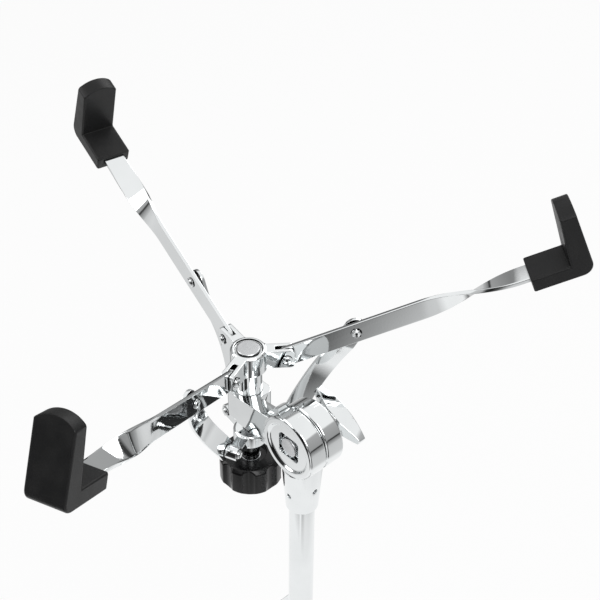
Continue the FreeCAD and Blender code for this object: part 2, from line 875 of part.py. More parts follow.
collar = new_body()
collar_outline = polygon(collar, "XY_Plane", [
    (post_x - collar_half, -collar_half),
    (post_x + collar_half, -collar_half),
    (post_x + collar_half, collar_half),
    (post_x - collar_half, collar_half),
])
collar_pad = pad(collar, collar_outline, collar_high - collar_low, False)
round_edges(collar, collar_pad, d.collar_corner, lambda e: along(e, Z_AXIS))
neck = new_body()
neck_outline = polygon(neck, "XZ_Plane", [
    (post_x, collar_low),
    (-d.neck_reach, d.neck_bottom),
    (zero, d.neck_bottom),
    (zero, d.neck_top),
    (-d.neck_reach, d.neck_top),
    (post_x, collar_high),
])
pad(neck, neck_outline, d.knuckle_width - d.cheek_edge * 2)
boss_radius = d.neck_boss_diameter / 2
boss_front = front_outer + d.neck_boss_setback
neck_boss = doc.addObject("Part::Common", "neck_boss")
neck_boss.Base = cylinder_y(boss_radius, boss_front, -seam)
neck_boss.Tool = block((-boss_radius, -d.neck_reach), (front_outer, zero), (-drum_radius / 2, drum_radius))
pocket_body = new_body()
pocket_half = d.pocket_side / 2
pocket_pad = pad(pocket_body, polygon(pocket_body, "XZ_Plane", [
    (-pocket_half, -pocket_half),
    (pocket_half, -pocket_half),
    (pocket_half, pocket_half),
    (-pocket_half, pocket_half),
]), d.pocket_depth * 2)
round_edges(pocket_body, pocket_pad, d.pocket_corner, lambda e: along(e, Y_AXIS))
head_seat = front_outer + d.pocket_depth
dish = doc.addObject("Part::Cone", "dish")
bind(dish, "Radius1", d.dish_diameter / 2)
bind(dish, "Radius2", d.dish_diameter / 2 - d.dish_depth)
bind(dish, "Height", d.dish_depth)
place(dish, zero, front_outer, zero, Rotation(X_AXIS, -QUARTER))
knuckle = cut(
    fuse(
        place(collar, zero, zero, collar_low),
        place(neck, zero, (front_outer - seam) / 2, zero),
        neck_boss,
        tilter_disc(front_outer, -seam),
    ),
    cylinder_z(d.tube_diameter / 2, collar_low - d.overrun, collar_high + d.overrun, post_x),
    dish,
    place(pocket_body, zero, front_outer, zero),
    cylinder_y(d.bolt_diameter / 2, front_outer - d.overrun, zero),
)
part("tilter_knuckle", place(knuckle, zero, zero, tilt_height))

socket = doc.addObject("Part::Cone", "socket")
bind(socket, "Radius1", d.socket_bottom_diameter / 2)
bind(socket, "Radius2", d.socket_top_diameter / 2)
bind(socket, "Height", -drum_radius / 2 - socket_low)
place(socket, zero, zero, socket_low)
# the front disc turns in a round hollow over the socket
front_room = cylinder_y(drum_radius + d.gap, -d.drum_diameter, seam)
tilter_socket = cut(
    fuse(cut(socket, front_room), tilter_disc(seam, rear_outer)),
    cylinder_z(d.tube_diameter / 2, socket_low - d.overrun, socket_low + d.socket_depth),
    cylinder_y(d.bolt_diameter / 2 + d.fit, zero, rear_outer + d.overrun),
)


def roll_pins(length):
    # two crossing pins through the socket and the mast's top
    low = socket_low + d.roll_pin_height
    pins = [
        cylinder_y(d.roll_pin_diameter / 2, -length / 2, length / 2, zero, low),
        cylinder_x(d.roll_pin_diameter / 2, -length / 2, length / 2, zero, low + d.roll_pin_pitch),
    ]
    group = doc.addObject("Part::Compound", "roll_pins")
    group.Links = pins
    return group


part("tilter_socket", place(cut(tilter_socket, roll_pins(d.socket_top_diameter)), zero, zero, tilt_height))
part("socket_pins", place(roll_pins(d.socket_bottom_diameter - d.gap * 2), zero, zero, tilt_height))

wing_seat = rear_outer + d.gap
bolt_end = wing_seat + d.wing_hub_height
tilter_bolt = fuse(
    cylinder_y(d.bolt_diameter / 2, head_seat, bolt_end),
    cylinder_y(d.bolt_head_diameter / 2, head_seat - d.bolt_head_height, head_seat),
)
part("tilter_bolt", place(tilter_bolt, zero, zero, tilt_height))


def arc_radius(half_span, drop):
    # the radius of an arc that falls by drop at half_span from its middle
    return (half_span * half_span + drop * drop) / (drop * 2)


def wing_shape(bore):
    # a wing nut along Z with its seat at z = 0: a tapered hub under one leaf-shaped bar, bored from below
    hub = doc.addObject("Part::Cone", "wing_hub")
    bind(hub, "Radius1", d.wing_hub_diameter / 2)
    bind(hub, "Radius2", d.wing_hub_diameter / 2 - d.wing_hub_taper)
    bind(hub, "Height", d.wing_hub_height)
    half_span = d.wing_span / 2
    half_hub = d.wing_hub_diameter / 2
    bar = new_body()
    pad(bar, polygon(bar, "XZ_Plane", [
        (-half_span, d.wing_tip_low),
        (-half_hub, d.wing_low),
        (half_hub, d.wing_low),
        (half_span, d.wing_tip_low),
        (half_span, d.wing_crown),
        (-half_span, d.wing_crown),
    ]), d.wing_breadth)
    crown_radius = arc_radius(half_span, d.wing_crown - d.wing_tip_top)
    side_radius = arc_radius(half_span, (d.wing_breadth - d.wing_tip_breadth) / 2)
    side_middle = side_radius - d.wing_breadth / 2
    leaf = common(
        bar,
        cylinder_y(crown_radius, -d.wing_breadth, d.wing_breadth, zero, d.wing_crown - crown_radius),
        cylinder_z(side_radius, zero, d.wing_crown * 2, zero, side_middle),
        cylinder_z(side_radius, zero, d.wing_crown * 2, zero, -side_middle),
    )
    return cut(fuse(hub, leaf), cylinder_z(bore, -d.overrun, d.wing_hub_height + d.gap))


tilter_wing = wing_shape(d.bolt_diameter / 2 + d.fit)
wing_turn = Rotation(Y_AXIS, d.tilter_wing_turn.value).multiply(Rotation(X_AXIS, -QUARTER))
part("tilter_wing", place(tilter_wing, zero, wing_seat, tilt_height, wing_turn))

# Mast tube, pressed into the socket

mast_top = tilt_height + socket_low + d.socket_depth
mast_tube = turned([
    (tube_inner, d.mast_end_height),
    (d.tube_diameter / 2, d.mast_end_height),
    (d.tube_diameter / 2, mast_top),
    (tube_inner, mast_top),
])
mast_pins = place(roll_pins(d.socket_top_diameter), zero, zero, tilt_height)
part("mast_tube", cut(mast_tube, mast_pins))

# Base tube with its plug. The tripod's pins stand where its legs put the feet on the floor.

upper_pin_height = d.leg_length * cosine(d.leg_angle) + d.foot_depth / 2 - d.foot_flat
lower_pin_height = upper_pin_height - d.brace_length * cosine(d.leg_angle) * 2
base_tube_bottom = lower_pin_height - d.base_tube_below
base_radius = d.base_tube_diameter / 2
base_inner = base_radius - d.base_tube_wall
part("base_tube", turned([
    (base_inner, base_tube_bottom),
    (base_radius, base_tube_bottom),
    (base_radius, d.base_tube_top),
    (base_inner, d.base_tube_top),
]))
part("base_plug", turned([
    (0, base_tube_bottom - d.plug_flange),
    (base_radius - d.clamp_edge, base_tube_bottom - d.plug_flange),
    (base_radius, base_tube_bottom - d.plug_flange + d.clamp_edge),
    (base_radius, base_tube_bottom),
    (base_inner, base_tube_bottom),
    (base_inner, base_tube_bottom + d.plug_stem),
    (0, base_tube_bottom + d.plug_stem),
]))

# Height clamp: a split collar on the base tube, with a turning bush for the mast
# and a wing bolt across its ears

clamp_radius = d.clamp_diameter / 2
bush_inner = d.tube_diameter / 2 + d.fit * 2
bush_outer = bush_inner + d.bush_wall
ear_middle = d.clamp_top - d.clamp_ear_height / 2 - d.clamp_edge
clamp_body = turned([
    (0, d.clamp_bottom),
    (clamp_radius - d.clamp_edge, d.clamp_bottom),
    (clamp_radius, d.clamp_bottom + d.clamp_edge),
    (clamp_radius, d.clamp_top - d.clamp_edge),
    (clamp_radius - d.clamp_edge, d.clamp_top),
    (0, d.clamp_top),
])
bolt_x = d.clamp_ear_reach - d.clamp_ear_height / 2
clamp_half = d.clamp_ear_width / 2
ear_half = d.clamp_ear_height / 2
clamp_ear = fuse(
    block((zero, bolt_x), middle(d.clamp_ear_width), (ear_middle - ear_half, ear_middle + ear_half)),
    cylinder_y(ear_half, -clamp_half, clamp_half, bolt_x, ear_middle),
)
slit_reach = d.clamp_ear_reach + d.overrun
above_clamp = d.clamp_top + d.overrun
bolt_hole = d.clamp_bolt_diameter / 2 + d.fit
height_clamp = cut(
    fuse(clamp_body, clamp_ear),
    cylinder_z(base_radius, d.clamp_bottom - d.overrun, d.base_tube_top),
    cylinder_z(bush_outer + d.fit, d.base_tube_top - d.overrun, above_clamp),
    block((zero, slit_reach), middle(d.clamp_slit), (d.base_tube_top, above_clamp)),
    cylinder_y(bolt_hole, -d.clamp_ear_width, d.clamp_ear_width, bolt_x, ear_middle),
)
CLAMP_TURN = Rotation(Z_AXIS, QUARTER)
part("height_clamp", place(height_clamp, turn=CLAMP_TURN))
part("clamp_bush", turned([
    (bush_inner, d.base_tube_top + d.gap),
    (bush_outer, d.base_tube_top + d.gap),
    (bush_outer, d.clamp_top + d.gap),
    (clamp_radius - d.clamp_edge, d.clamp_top + d.gap),
    (clamp_radius - d.clamp_edge, d.clamp_top + d.bush_flange),
    (bush_inner, d.clamp_top + d.bush_flange),
]))


def wing_bolt(bolt_diameter, length):
    # a wing handle along Z with its shank running down from the seat
    shank = cylinder_z(bolt_diameter / 2, -length, d.wing_hub_height)
    return fuse(wing_shape(bolt_diameter / 4), shank)


height_wing = wing_bolt(d.clamp_bolt_diameter, d.clamp_ear_width + d.gap + d.nut_height)
place(height_wing, bolt_x, clamp_half + d.gap, ear_middle, Rotation(X_AXIS, -QUARTER))
part("height_wing", turned_link(height_wing, CLAMP_TURN))
nut_half = d.nut_side / 2
height_nut = cut(
    block((bolt_x - nut_half, bolt_x + nut_half), (-clamp_half - d.nut_height, -clamp_half),
          (ear_middle - nut_half, ear_middle + nut_half)),
    cylinder_y(bolt_hole, -clamp_half * 2, zero, bolt_x, ear_middle),
)
part("height_nut", turned_link(height_nut, CLAMP_TURN))

# Tripod: legs hang from a sliding collar, braces tie them to a fixed collar below.
# Leg pin to brace pin and brace pin to brace pin are equally long, so both collars stay over each other.

leg_inner = d.leg_width - d.channel_wall * 2
brace_width = leg_inner - d.gap * 2
brace_inner = brace_width - d.channel_wall * 2
leg_lug_width = leg_inner - d.gap * 2
brace_lug_width = brace_inner - d.gap * 2


def lug_ring(diameter, height, bore, lug_width, lug_radius):
    # a ring about Z at z = 0 with three pierced lugs
    half = height / 2
    ring = turned([
        (0, -half),
        (diameter / 2 - d.clamp_edge, -half),
        (diameter / 2, -half + d.clamp_edge),
        (diameter / 2, half - d.clamp_edge),
        (diameter / 2 - d.clamp_edge, half),
        (0, half),
    ])

    def lug(turn):
        web = block((zero, d.tripod_pin_reach), middle(lug_width), (-lug_radius, lug_radius))
        eye = cylinder_y(lug_radius, -lug_width / 2, lug_width / 2, d.tripod_pin_reach)
        return turned_link(fuse(web, eye), turn)

    def hole(turn):
        return turned_link(cylinder_y(pin_radius, -lug_width, lug_width, d.tripod_pin_reach), turn)

    return cut(
        fuse(ring, *around(LEG_COUNT, d.leg_turn, lug)),
        cylinder_z(bore, -height, height),
        *around(LEG_COUNT, d.leg_turn, hole),
    )


def ring_pins(width):
    # three rivets through the lugs of a ring and the channels that straddle them
    def pin(turn):
        one = rivet(pin_radius, width / 2 + d.gap, head_radius, d.rivet_head_height)
        return turned_link(turned_link(one, Rotation(), d.tripod_pin_reach), turn)

    group = doc.addObject("Part::Compound", "ring_pins")
    group.Links = around(LEG_COUNT, d.leg_turn, pin)
    return group


brace_lug_radius = d.brace_depth / 2 - d.channel_wall / 2
collar_ring = lug_ring(d.tripod_collar_diameter, d.tripod_collar_height, base_radius + d.fit * 2,
                       leg_lug_width, d.leg_depth / 2)
SCREW_TURN = Rotation(Z_AXIS, d.leg_turn.value + HALF_TURN / LEG_COUNT)
screw_start = base_radius + d.gap
screw_seat = d.tripod_collar_diameter / 2 + d.gap
screw_room = cylinder_x(d.set_screw_diameter / 2 + d.fit, zero, d.tripod_collar_diameter)
screw_hole = turned_link(screw_room, SCREW_TURN)
tripod_collar = cut(collar_ring, screw_hole)
part("tripod_collar", place(tripod_collar, zero, zero, upper_pin_height))
part("leg_pins", place(ring_pins(d.leg_width), zero, zero, upper_pin_height))
tripod_wing = wing_bolt(d.set_screw_diameter, screw_seat - screw_start)
place(tripod_wing, screw_seat, zero, zero, Rotation(Y_AXIS, QUARTER))
part("tripod_wing", turned_link(tripod_wing, SCREW_TURN, zero, upper_pin_height))
lower_collar = lug_ring(d.lower_collar_diameter, d.lower_collar_height, base_radius, brace_lug_width,
                        brace_lug_radius)
part("lower_collar", place(lower_collar, zero, zero, lower_pin_height))
part("lower_pins", place(ring_pins(brace_width), zero, zero, lower_pin_height))


def channel(length, width, depth, web_from, web_to, holes):
    # a straight U-channel along X, open towards -Z, with round ends about its first and last point
    half = depth / 2
    outer = fuse(
        block((zero, length), middle(width), (-half, half)),
        cylinder_y(half, -width / 2, width / 2),
        cylinder_y(half, -width / 2, width / 2, length),
    )
    inner = width - d.channel_wall * 2
    tools = [
        block((-depth, length + depth), middle(inner), (-depth, half - d.channel_wall)),
        block((-depth, web_from), middle(inner), (zero, depth)),
    ]
    if web_to is not None:
        tools.append(block((web_to, length + depth), middle(inner), (zero, depth)))
    tools += [cylinder_y(radius, -width, width, x) for x, radius in holes]
    return cut(outer, *tools)


def leg_frame(index, x, z, dip):
    # X runs out from the mast and down by the dip angle
    turn = Rotation(Z_AXIS, d.leg_turn.value + index * FULL_TURN / LEG_COUNT)
    start = turn.multVec(Vector(x.value, 0, 0)) + Vector(0, 0, z.value)
    return Placement(start, turn.multiply(Rotation(Y_AXIS, dip)))


leg_dip = QUARTER - d.leg_angle.value
running = pin_radius + d.fit
foot_half = d.foot_depth / 2
foot_start = d.leg_length + d.foot_overhang - d.foot_length


def foot_shape(frame):
    # a boot over the leg's end, cut flat where it stands on the floor
    width = d.foot_width.value
    half = foot_half.value
    start = foot_start.value
    end = d.leg_length.value
    boot = Part.makeBox(end - start, width, half * 2, Vector(start, -width / 2, -half))
    boot = boot.fuse(Part.makeCylinder(half, width, Vector(end, -width / 2, 0), Y_AXIS)).removeSplitter()
    rims = [e for e in boot.Edges if all(abs(abs(v.Y) - width / 2) < d.fit.value for v in e.Vertexes)]
    boot = boot.makeFillet(d.foot_edge.value, [e for e in rims if not along(e, Y_AXIS)])
    leg_half = d.leg_depth.value / 2
    leg_width = d.leg_width.value
    hollow = Part.makeBox(end - start + d.overrun.value, leg_width, leg_half * 2,
                          Vector(start - d.overrun.value, -leg_width / 2, -leg_half))
    hollow = hollow.fuse(Part.makeCylinder(leg_half, leg_width, Vector(end, -leg_width / 2, 0), Y_AXIS))
    boot = boot.cut(hollow)
    reach = d.foot_length.value * 4
    tip = frame.multVec(Vector(end, 0, 0))
    floor = Part.makeBox(reach, reach, reach, Vector(tip.x - reach / 2, tip.y - reach / 2, -reach))
    floor.Placement = frame.inverse().multiply(floor.Placement)
    return boot.cut(floor)


for leg_index in range(LEG_COUNT):
    name = str(leg_index + 1)
    frame = leg_frame(leg_index, d.tripod_pin_reach, upper_pin_height, leg_dip)
    leg_holes = [(zero, running), (d.brace_length, pin_radius)]
    leg = channel(d.leg_length, d.leg_width, d.leg_depth, d.leg_web_start, None, leg_holes)
    part("leg_" + name, leg).Placement = frame
    foot = doc.addObject("Part::Feature", "foot")
    foot.Shape = foot_shape(frame)
    part("foot_" + name, foot).Placement = frame
    brace_pin = rivet(pin_radius, d.leg_width / 2 + d.gap, head_radius, d.rivet_head_height)
    brace_pin.Placement = frame.multiply(Placement(Vector(d.brace_length.value, 0, 0), Rotation()))
    part("brace_pin_" + name, brace_pin)
    brace_holes = [(zero, running), (d.brace_length, running)]
    brace_end = d.brace_length - d.brace_web_start
    brace = channel(d.brace_length, brace_width, d.brace_depth, d.brace_web_start, brace_end, brace_holes)
    brace_frame = leg_frame(leg_index, d.tripod_pin_reach, lower_pin_height, -leg_dip)
    part("brace_" + name, brace).Placement = brace_frame

# Build, check and write

doc.recompute()
for obj in doc.Objects:
    if "Invalid" in obj.State or "Error" in obj.State:
        raise RuntimeError(f"{obj.Name} ({obj.Label}) failed: {obj.State}")
for label, obj in PARTS.items():
    if obj.Shape.isNull() or not obj.Shape.isValid() or not obj.Shape.Solids:
        raise RuntimeError(f"{label} has no valid solid")
os.makedirs("parts", exist_ok=True)
for label, obj in PARTS.items():
    obj.Shape.exportStep(f"parts/{label}.step")
print(len(PARTS), "parts written")
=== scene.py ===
import bpy
import json
import math
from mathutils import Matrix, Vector

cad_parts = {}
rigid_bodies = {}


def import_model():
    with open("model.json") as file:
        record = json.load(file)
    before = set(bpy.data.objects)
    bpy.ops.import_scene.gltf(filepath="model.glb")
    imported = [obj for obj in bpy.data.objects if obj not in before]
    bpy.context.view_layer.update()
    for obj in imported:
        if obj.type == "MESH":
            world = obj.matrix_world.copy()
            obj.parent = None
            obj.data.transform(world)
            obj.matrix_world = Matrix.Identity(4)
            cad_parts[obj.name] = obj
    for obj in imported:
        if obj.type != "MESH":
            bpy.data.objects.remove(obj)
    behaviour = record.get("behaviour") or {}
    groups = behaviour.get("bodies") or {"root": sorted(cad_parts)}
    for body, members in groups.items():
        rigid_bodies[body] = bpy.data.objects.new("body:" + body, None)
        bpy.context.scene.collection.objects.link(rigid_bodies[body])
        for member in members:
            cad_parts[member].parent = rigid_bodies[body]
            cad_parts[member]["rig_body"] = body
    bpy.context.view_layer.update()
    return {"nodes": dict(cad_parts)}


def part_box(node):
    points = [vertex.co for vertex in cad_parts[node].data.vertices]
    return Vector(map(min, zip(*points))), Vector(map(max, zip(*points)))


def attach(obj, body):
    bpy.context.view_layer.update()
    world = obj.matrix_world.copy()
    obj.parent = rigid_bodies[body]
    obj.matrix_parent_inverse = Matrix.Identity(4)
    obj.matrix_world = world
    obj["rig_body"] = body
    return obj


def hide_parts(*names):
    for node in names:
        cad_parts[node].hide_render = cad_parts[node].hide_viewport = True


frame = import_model()
print("snare stand loaded:", len(frame["nodes"]), "CAD nodes")

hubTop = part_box("basket_hub")[1].z
postMiddle = (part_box("post_tube")[0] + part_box("post_tube")[1]) / 2
hubCentre = Vector((postMiddle.x, postMiddle.y, hubTop))


def deselectAll():
    if bpy.context.object and bpy.context.object.mode != "OBJECT":
        bpy.ops.object.mode_set(mode="OBJECT")
    bpy.ops.object.select_all(action="DESELECT")


def pickOnly(piece):
    deselectAll()
    piece.select_set(True)
    bpy.context.view_layer.objects.active = piece


# shared surface effects, each built once


def newGroup(name, inputs, outputs):
    group = bpy.data.node_groups.new(name, "ShaderNodeTree")
    for label, kind, value in inputs:
        socket = group.interface.new_socket(name=label, in_out="INPUT", socket_type=kind)
        if value is not None:
            socket.default_value = value
    for label, kind in outputs:
        group.interface.new_socket(name=label, in_out="OUTPUT", socket_type=kind)
    return group, group.nodes.new("NodeGroupInput"), group.nodes.new("NodeGroupOutput")


filmPattern = {"smudgeDetail": 3.0, "smudgeRoughness": 0.55, "smudgeFrom": 0.38, "smudgeTo": 0.72,
               "rubDetail": 2.0}


def makeHandledFilm():
    group, given, out = newGroup(
        "handledFilm",
        [("Place", "NodeSocketVector", None), ("Smudge Scale", "NodeSocketFloat", 30.0),
         ("Rub Scale", "NodeSocketFloat", 600.0)],
        [("Film", "NodeSocketFloat"), ("Rub", "NodeSocketFloat")])
    smudge = group.nodes.new("ShaderNodeTexNoise")   # wide, soft finger film
    smudge.inputs["Detail"].default_value = filmPattern["smudgeDetail"]
    smudge.inputs["Roughness"].default_value = filmPattern["smudgeRoughness"]
    spread = group.nodes.new("ShaderNodeMapRange")
    spread.inputs["From Min"].default_value = filmPattern["smudgeFrom"]
    spread.inputs["From Max"].default_value = filmPattern["smudgeTo"]
    rub = group.nodes.new("ShaderNodeTexNoise")      # fine polishing marks
    rub.inputs["Detail"].default_value = filmPattern["rubDetail"]
    link = group.links.new
    link(given.outputs["Place"], smudge.inputs["Vector"])
    link(given.outputs["Smudge Scale"], smudge.inputs["Scale"])
    link(smudge.outputs["Fac"], spread.inputs["Value"])
    link(spread.outputs["Result"], out.inputs["Film"])
    link(given.outputs["Place"], rub.inputs["Vector"])
    link(given.outputs["Rub Scale"], rub.inputs["Scale"])
    link(rub.outputs["Fac"], out.inputs["Rub"])
    return group


grainPattern = {"randomness": 1.0, "dustDetail": 5.0, "dustFrom": 0.45, "dustTo": 0.80}


def makeMouldGrain():
    group, given, out = newGroup(
        "mouldGrain",
        [("Place", "NodeSocketVector", None), ("Grain Scale", "NodeSocketFloat", 1400.0),
         ("Dust Scale", "NodeSocketFloat", 60.0)],
        [("Grain", "NodeSocketFloat"), ("Dust", "NodeSocketFloat")])
    grain = group.nodes.new("ShaderNodeTexVoronoi")
    grain.inputs["Randomness"].default_value = grainPattern["randomness"]
    dust = group.nodes.new("ShaderNodeTexNoise")
    dust.inputs["Detail"].default_value = grainPattern["dustDetail"]
    dustSpread = group.nodes.new("ShaderNodeMapRange")
    dustSpread.inputs["From Min"].default_value = grainPattern["dustFrom"]
    dustSpread.inputs["From Max"].default_value = grainPattern["dustTo"]
    link = group.links.new
    link(given.outputs["Place"], grain.inputs["Vector"])
    link(given.outputs["Grain Scale"], grain.inputs["Scale"])
    link(grain.outputs["Distance"], out.inputs["Grain"])
    link(given.outputs["Place"], dust.inputs["Vector"])
    link(given.outputs["Dust Scale"], dust.inputs["Scale"])
    link(dust.outputs["Fac"], dustSpread.inputs["Value"])
    link(dustSpread.outputs["Result"], out.inputs["Dust"])
    return group


def makeScrewTurns():
    group, given, out = newGroup(
        "screwTurns",
        [("Place", "NodeSocketVector", None), ("Turns Per Metre", "NodeSocketFloat", 800.0)],
        [("Thread", "NodeSocketFloat")])
    parts = group.nodes.new("ShaderNodeSeparateXYZ")
    angle = group.nodes.new("ShaderNodeMath")
    angle.operation = "ARCTAN2"
    wholeTurns = group.nodes.new("ShaderNodeMath")
    wholeTurns.operation = "DIVIDE"
    wholeTurns.inputs[1].default_value = 2 * math.pi
    climb = group.nodes.new("ShaderNodeMath")
    climb.operation = "MULTIPLY"
    helix = group.nodes.new("ShaderNodeMath")
    helix.operation = "ADD"
    ridge = group.nodes.new("ShaderNodeMath")
    ridge.operation = "PINGPONG"
    ridge.inputs[1].default_value = 0.5
    twice = group.nodes.new("ShaderNodeMath")
    twice.operation = "MULTIPLY"
    twice.inputs[1].default_value = 2.0
    link = group.links.new
    link(given.outputs["Place"], parts.inputs["Vector"])
    link(parts.outputs["Y"], angle.inputs[0])
    link(parts.outputs["X"], angle.inputs[1])
    link(angle.outputs["Value"], wholeTurns.inputs[0])
    link(parts.outputs["Z"], climb.inputs[0])
    link(given.outputs["Turns Per Metre"], climb.inputs[1])
    link(wholeTurns.outputs["Value"], helix.inputs[0])
    link(climb.outputs["Value"], helix.inputs[1])
    link(helix.outputs["Value"], ridge.inputs[0])
    link(ridge.outputs["Value"], twice.inputs[0])
    link(twice.outputs["Value"], out.inputs["Thread"])
    return group


filmGroup = makeHandledFilm()
grainGroup = makeMouldGrain()
threadGroup = makeScrewTurns()
print("surface groups ready")


mixColour = {"share": 0, "first": 6, "second": 7, "result": 2}   # sockets of a colour mix node


def newMaterial(name):
    material = bpy.data.materials.new(name)
    material.use_nodes = True
    nodes = material.node_tree.nodes
    return material, nodes, material.node_tree.links.new, nodes["Principled BSDF"]


def addGroup(nodes, link, group, values):
    use = nodes.new("ShaderNodeGroup")
    use.node_tree = group
    place = nodes.new("ShaderNodeTexCoord")
    link(place.outputs["Object"], use.inputs["Place"])
    for label, value in values.items():
        use.inputs[label].default_value = value
    return use


def spreadTo(nodes, link, source, low, high):
    spread = nodes.new("ShaderNodeMapRange")
    spread.inputs["To Min"].default_value = low
    spread.inputs["To Max"].default_value = high
    link(source, spread.inputs["Value"])
    return spread.outputs["Result"]


def blendColours(nodes, link, source, first, second):
    blend = nodes.new("ShaderNodeMix")
    blend.data_type = "RGBA"
    blend.inputs[mixColour["first"]].default_value = (*first, 1.0)
    blend.inputs[mixColour["second"]].default_value = (*second, 1.0)
    link(source, blend.inputs[mixColour["share"]])
    return blend.outputs[mixColour["result"]]


def addBump(nodes, link, shader, height, strength, distance):
    bump = nodes.new("ShaderNodeBump")
    bump.inputs["Strength"].default_value = strength
    bump.inputs["Distance"].default_value = distance
    link(height, bump.inputs["Height"])
    link(bump.outputs["Normal"], shader.inputs["Normal"])


paintedCreviceShade = {"samples": 8, "shut": 0.30, "open": 0.72}   # painted shade in slots and seams: ambient occlusion darkens the base colour


def shadeCrevices(nodes, link, colour, look):
    # painted shade: the base colour blends toward a near-black colour where ambient occlusion
    # finds nearby geometry
    gap = nodes.new("ShaderNodeAmbientOcclusion")
    gap.samples = paintedCreviceShade["samples"]
    gap.inputs["Distance"].default_value = look["paintedShadeReach"]
    spread = nodes.new("ShaderNodeMapRange")
    spread.inputs["From Min"].default_value = paintedCreviceShade["shut"]
    spread.inputs["From Max"].default_value = paintedCreviceShade["open"]
    link(gap.outputs["AO"], spread.inputs["Value"])
    blend = nodes.new("ShaderNodeMix")
    blend.data_type = "RGBA"
    blend.inputs[mixColour["first"]].default_value = (*look["paintedShade"], 1.0)
    link(spread.outputs["Result"], blend.inputs[mixColour["share"]])
    link(colour, blend.inputs[mixColour["second"]])
    return blend.outputs[mixColour["result"]]


def plateFinish(name, look):
    material, nodes, link, shader = newMaterial(name)
    film = addGroup(nodes, link, filmGroup,
                    {"Smudge Scale": look["smudgeScale"], "Rub Scale": look["rubScale"]})
    plated = blendColours(nodes, link, film.outputs["Film"], look["clean"], look["filmed"])
    link(shadeCrevices(nodes, link, plated, look), shader.inputs["Base Color"])
    link(spreadTo(nodes, link, film.outputs["Film"], look["smooth"], look["hazy"]),
         shader.inputs["Roughness"])
    shader.inputs["Metallic"].default_value = 1.0
    addBump(nodes, link, shader, film.outputs["Rub"], look["rubStrength"], look["rubDepth"])
    return material


def mouldedFinish(name, look):
    material, nodes, link, shader = newMaterial(name)
    grain = addGroup(nodes, link, grainGroup,
                     {"Grain Scale": look["grainScale"], "Dust Scale": look["dustScale"]})
    link(blendColours(nodes, link, grain.outputs["Dust"], look["clean"], look["dusty"]),
         shader.inputs["Base Color"])
    link(spreadTo(nodes, link, grain.outputs["Dust"], look["smooth"], look["hazy"]),
         shader.inputs["Roughness"])
    shader.inputs["Specular IOR Level"].default_value = look["gloss"]
    addBump(nodes, link, shader, grain.outputs["Grain"], look["grainStrength"], look["grainDepth"])
    return material


def threadedFinish(name, look):
    material, nodes, link, shader = newMaterial(name)
    turns = nodes.new("ShaderNodeGroup")
    turns.node_tree = threadGroup
    turns.inputs["Turns Per Metre"].default_value = look["turnsPerMetre"]
    place = nodes.new("ShaderNodeTexCoord")
    centred = nodes.new("ShaderNodeMapping")
    centred.inputs["Location"].default_value = look["shift"]
    centred.inputs["Rotation"].default_value = look["turn"]
    link(place.outputs["Object"], centred.inputs["Vector"])
    link(centred.outputs["Vector"], turns.inputs["Place"])
    # painted shade: the thread roots get a darker colour than the crests
    link(blendColours(nodes, link, turns.outputs["Thread"], look["root"], look["crest"]),
         shader.inputs["Base Color"])
    link(spreadTo(nodes, link, turns.outputs["Thread"], look["hazy"], look["smooth"]),
         shader.inputs["Roughness"])
    shader.inputs["Metallic"].default_value = 1.0
    addBump(nodes, link, shader, turns.outputs["Thread"], 1.0, look["depth"])
    return material


# each plated look ends with painted shade: a near-black colour for slots and seams, and the
# occlusion distance it reaches
chromeLook = {"clean": (0.83, 0.85, 0.855), "filmed": (0.79, 0.81, 0.815), "smooth": 0.03,
              "hazy": 0.07, "smudgeScale": 28.0, "rubScale": 700.0, "rubStrength": 0.03,
              "rubDepth": 0.0002, "paintedShade": (0.02, 0.02, 0.021), "paintedShadeReach": 0.005}
capLook = {"clean": (0.66, 0.67, 0.68), "filmed": (0.58, 0.59, 0.60), "smooth": 0.24,
           "hazy": 0.36, "smudgeScale": 90.0, "rubScale": 1200.0, "rubStrength": 0.10,
           "rubDepth": 0.0002, "paintedShade": (0.02, 0.02, 0.021), "paintedShadeReach": 0.005}
zincLook = {"clean": (0.60, 0.61, 0.62), "filmed": (0.48, 0.49, 0.50), "smooth": 0.20,
            "hazy": 0.38, "smudgeScale": 120.0, "rubScale": 1500.0, "rubStrength": 0.10,
            "rubDepth": 0.0002, "paintedShade": (0.02, 0.02, 0.021), "paintedShadeReach": 0.005}
gripLook = {"clean": (0.013, 0.0132, 0.0136), "dusty": (0.018, 0.018, 0.018), "smooth": 0.32,
            "hazy": 0.46, "gloss": 0.20, "grainScale": 1300.0, "dustScale": 70.0,
            "grainStrength": 0.12, "grainDepth": 0.0004}
footLook = {"clean": (0.016, 0.0165, 0.017), "dusty": (0.045, 0.043, 0.040), "smooth": 0.55,
            "hazy": 0.75, "gloss": 0.40, "grainScale": 1100.0, "dustScale": 45.0,
            "grainStrength": 0.18, "grainDepth": 0.0005}
knobLook = {"clean": (0.004, 0.004, 0.0043), "dusty": (0.008, 0.008, 0.0083), "smooth": 0.16,
            "hazy": 0.28, "gloss": 0.32, "grainScale": 900.0, "dustScale": 80.0,
            "grainStrength": 0.04, "grainDepth": 0.0003}
bushLook = {"clean": (0.022, 0.022, 0.023), "dusty": (0.034, 0.034, 0.034), "smooth": 0.38,
            "hazy": 0.50, "gloss": 0.50, "grainScale": 1000.0, "dustScale": 80.0,
            "grainStrength": 0.06, "grainDepth": 0.0003}
washerLook = {"clean": (0.78, 0.78, 0.77), "dusty": (0.66, 0.655, 0.64), "smooth": 0.36,
              "hazy": 0.48, "gloss": 0.50, "grainScale": 1000.0, "dustScale": 140.0,
              "grainStrength": 0.05, "grainDepth": 0.0002}

